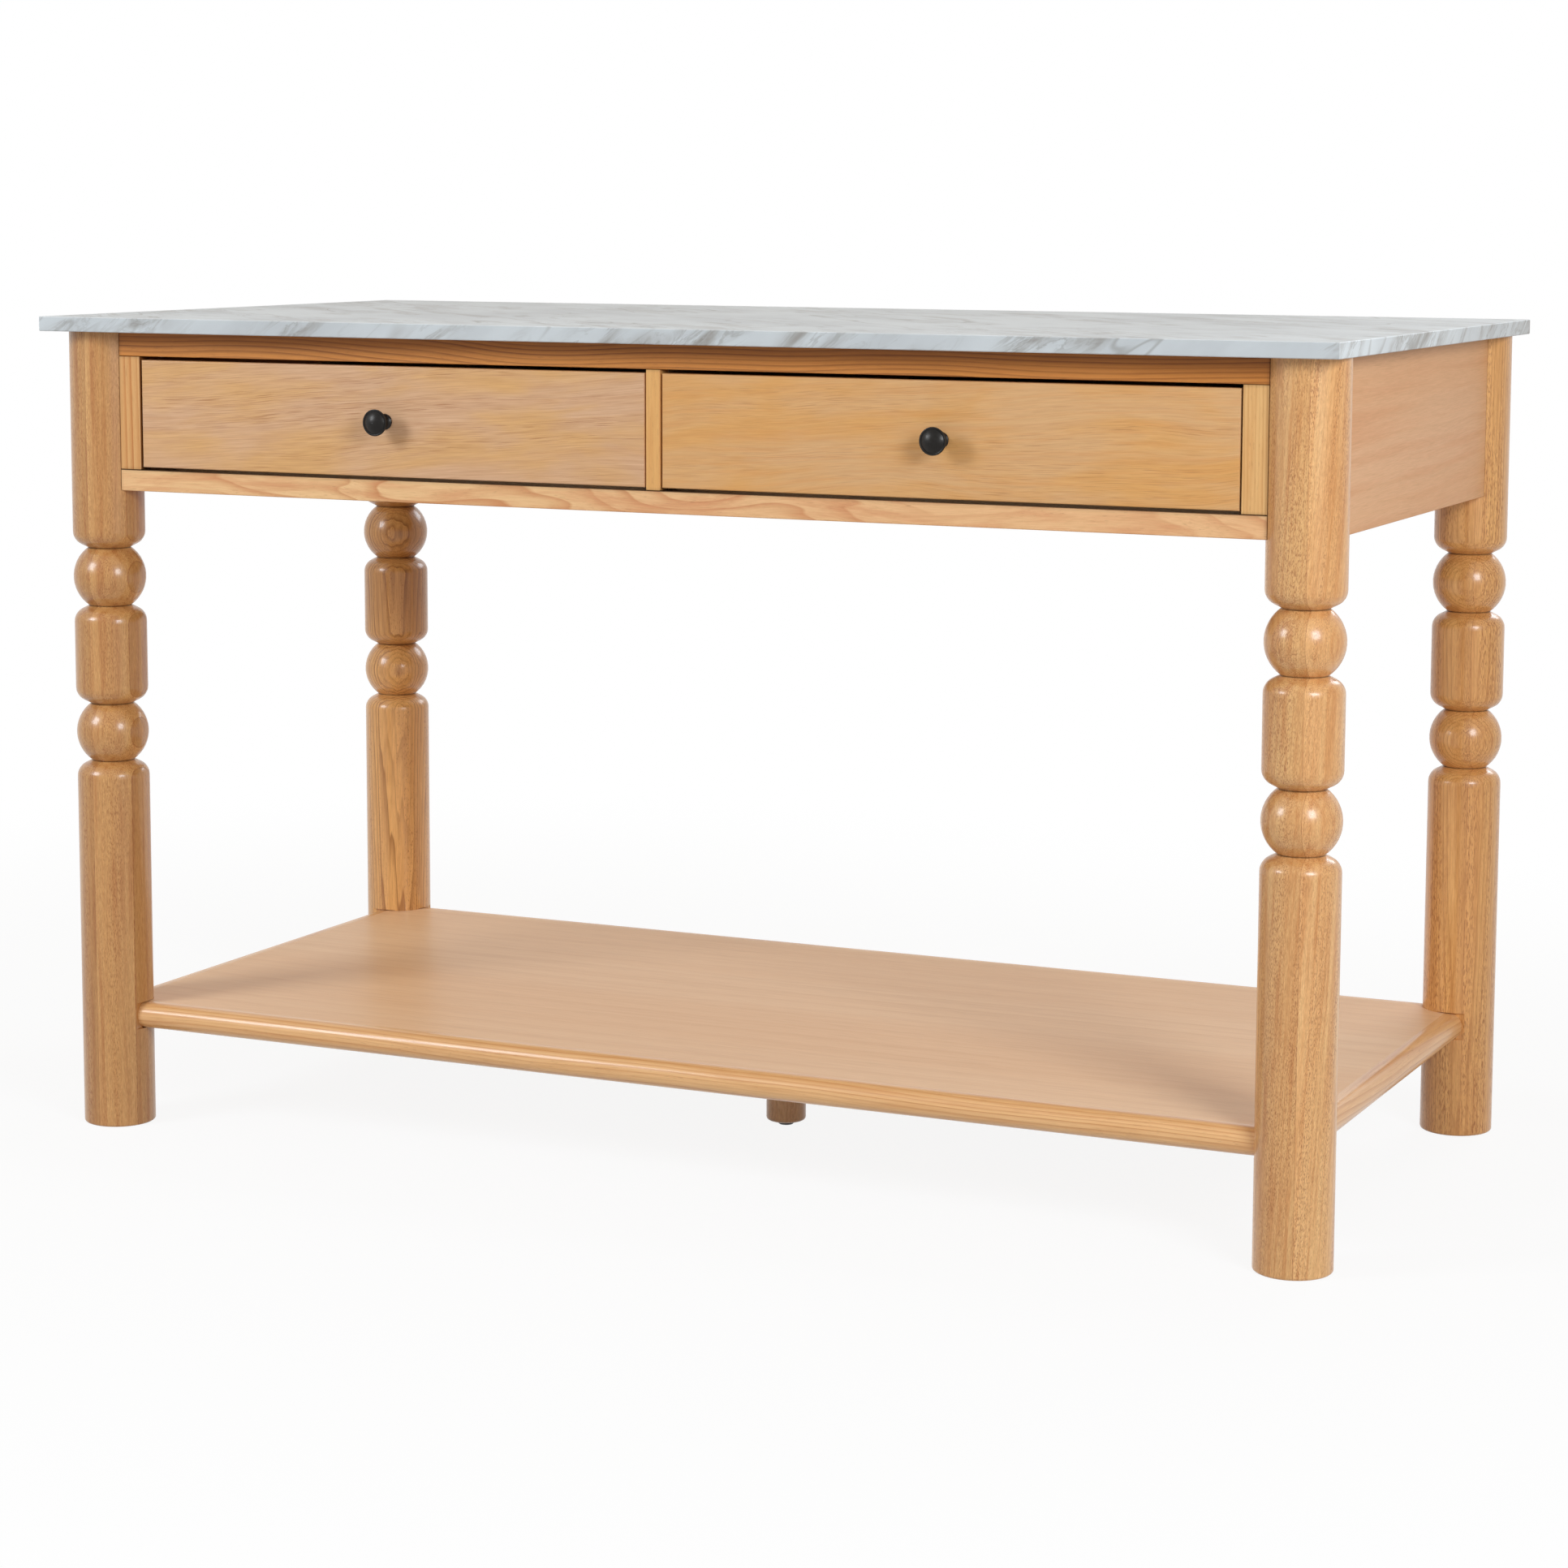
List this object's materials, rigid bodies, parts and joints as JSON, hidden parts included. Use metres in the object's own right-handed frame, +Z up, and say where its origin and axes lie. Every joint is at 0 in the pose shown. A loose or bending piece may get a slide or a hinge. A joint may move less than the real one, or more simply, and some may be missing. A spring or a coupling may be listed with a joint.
{
  "type": "kitchen island",
  "caption": "Kitchen island with a stone-look slab top, turned wooden legs, side-by-side drawers in a face-framed apron, and a low shelf with rounded edges.",
  "frame": {"origin": "on the floor under the middle of the worktop", "axes": "+X to the right of someone facing the drawers, +Y from them towards the back, +Z up"},
  "size_m": [1.48, 0.74, 0.914],
  "materials": {
    "worktop": "smooth satin slab with soft grey and beige veins",
    "leg_wood": "satin lacquered honey wood",
    "frame_wood": "satin lacquered honey wood with strong streaks",
    "drawer_front_wood": "satin lacquered plain veneer",
    "panel_wood": "satin lacquered plain veneer",
    "shelf_wood": "satin lacquered veneer with soft bands",
    "shelf_edge_wood": "satin lacquered solid wood",
    "foot_wood": "satin lacquered solid wood",
    "drawer_box_wood": "pale sanded plywood",
    "inner_wood": "pale sawn wood",
    "knob_metal": "satin black",
    "fastener_steel": "zinc plated",
    "slide_steel": "zinc plated sheet",
    "glide_plastic": "dark moulded"
  },
  "bodies": {
    "carcass": {"back_panel": "panel_wood", "bottom_rail": "frame_wood", "centre_divider": "inner_wood", "centre_foot": "foot_wood", "centre_stile": "frame_wood", "corner_block_front_left": "inner_wood", "corner_block_front_right": "inner_wood", "corner_block_rear_left": "inner_wood", "corner_block_rear_right": "inner_wood", "dowels": "inner_wood", "drawer_left_left_slide_outer": "slide_steel", "drawer_left_right_slide_outer": "slide_steel", "drawer_right_left_slide_outer": "slide_steel", "drawer_right_right_slide_outer": "slide_steel", "foot_glide": "glide_plastic", "foot_stud": "fastener_steel", "leg_bolts": "fastener_steel", "leg_front_left": "leg_wood", "leg_front_right": "leg_wood", "leg_nuts": "fastener_steel", "leg_rear_left": "leg_wood", "leg_rear_right": "leg_wood", "leg_washers": "fastener_steel", "shelf_bolts": "fastener_steel", "shelf_edge_back": "shelf_edge_wood", "shelf_edge_front": "shelf_edge_wood", "shelf_edge_left": "shelf_edge_wood", "shelf_edge_right": "shelf_edge_wood", "shelf_panel": "shelf_wood", "side_panel_left": "panel_wood", "side_panel_right": "panel_wood", "slide_batten_left": "inner_wood", "slide_batten_right": "inner_wood", "stile_left": "frame_wood", "stile_right": "frame_wood", "top_rail": "frame_wood", "worktop": "worktop", "worktop_screws": "fastener_steel"},
    "left_slide_middles": {"drawer_left_left_slide_middle": "slide_steel", "drawer_left_right_slide_middle": "slide_steel"},
    "left_drawer": {"drawer_left_back": "drawer_box_wood", "drawer_left_bottom": "drawer_box_wood", "drawer_left_front": "drawer_front_wood", "drawer_left_knob": "knob_metal", "drawer_left_knob_screw": "fastener_steel", "drawer_left_left_slide_inner": "slide_steel", "drawer_left_right_slide_inner": "slide_steel", "drawer_left_side_left": "drawer_box_wood", "drawer_left_side_right": "drawer_box_wood"},
    "right_slide_middles": {"drawer_right_left_slide_middle": "slide_steel", "drawer_right_right_slide_middle": "slide_steel"},
    "right_drawer": {"drawer_right_back": "drawer_box_wood", "drawer_right_bottom": "drawer_box_wood", "drawer_right_front": "drawer_front_wood", "drawer_right_knob": "knob_metal", "drawer_right_knob_screw": "fastener_steel", "drawer_right_left_slide_inner": "slide_steel", "drawer_right_right_slide_inner": "slide_steel", "drawer_right_side_left": "drawer_box_wood", "drawer_right_side_right": "drawer_box_wood"}
  },
  "joints": [
    {"name": "left_drawer_slide", "type": "slide", "parent": "carcass", "child": "left_drawer", "axis": [0, -1, 0], "range_m": [0, 0.55]},
    {"name": "left_middles_slide", "type": "slide", "parent": "carcass", "child": "left_slide_middles", "axis": [0, -1, 0], "range_m": [0, 0.275]},
    {"name": "right_drawer_slide", "type": "slide", "parent": "carcass", "child": "right_drawer", "axis": [0, -1, 0], "range_m": [0, 0.55]},
    {"name": "right_middles_slide", "type": "slide", "parent": "carcass", "child": "right_slide_middles", "axis": [0, -1, 0], "range_m": [0, 0.275]}
  ],
  "couplings": [
    {"joint": "left_middles_slide", "follows": "left_drawer_slide", "ratio": 0.5},
    {"joint": "right_middles_slide", "follows": "right_drawer_slide", "ratio": 0.5}
  ]
}
